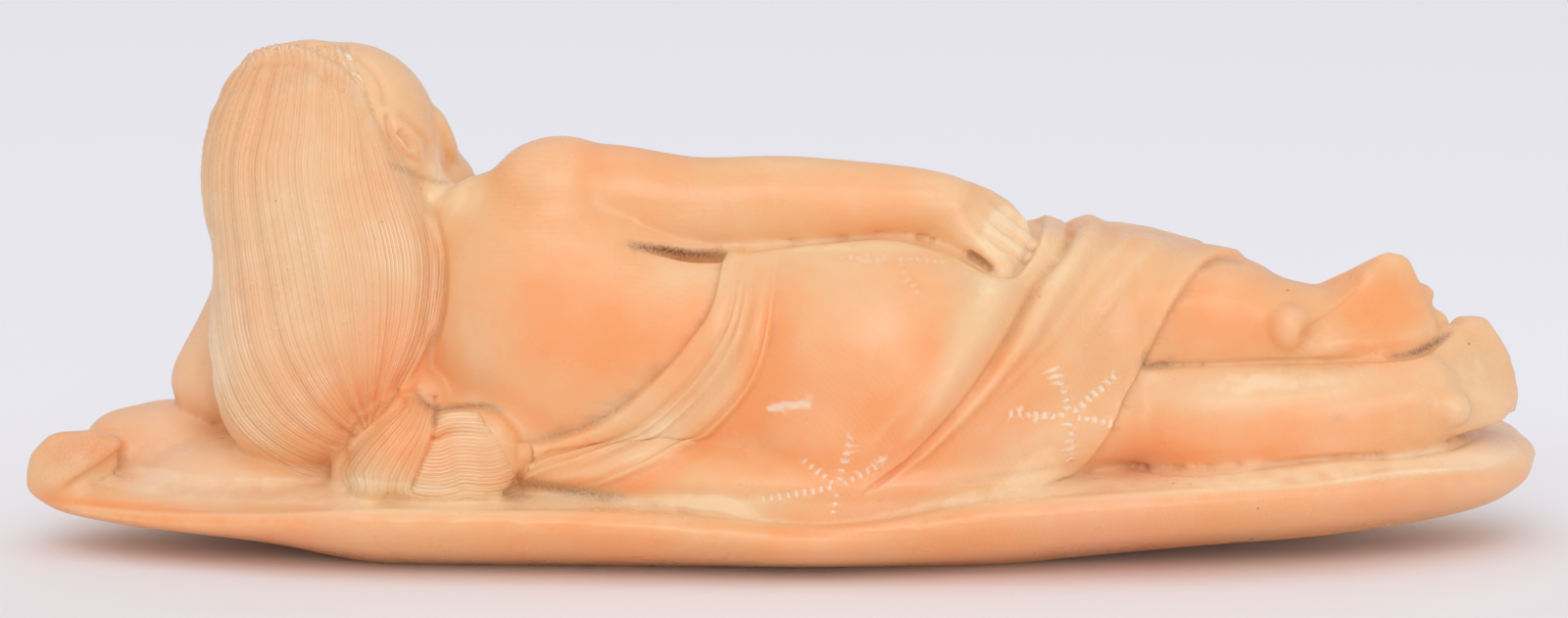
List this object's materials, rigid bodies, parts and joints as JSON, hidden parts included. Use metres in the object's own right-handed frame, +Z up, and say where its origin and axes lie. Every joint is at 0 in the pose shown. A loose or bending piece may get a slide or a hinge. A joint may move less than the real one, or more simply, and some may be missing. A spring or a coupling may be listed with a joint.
{
  "type": "reclining figure ornament",
  "caption": "Carved solid figure of a draped woman lying on her side, head on hand, long hair down her back, on a leaf-shaped base; stands by its own weight.",
  "frame": {"origin": "middle of the carving's length and depth, on its flat underside", "axes": "+X from her head to her feet, +Y from her back to her front, +Z up"},
  "size_m": [0.1696, 0.0524, 0.057],
  "materials": {
    "ivory": "aged ivory, tan with cream recesses, satin polish"
  },
  "bodies": {
    "root": {"reclining_figure": "ivory"}
  },
  "joints": []
}
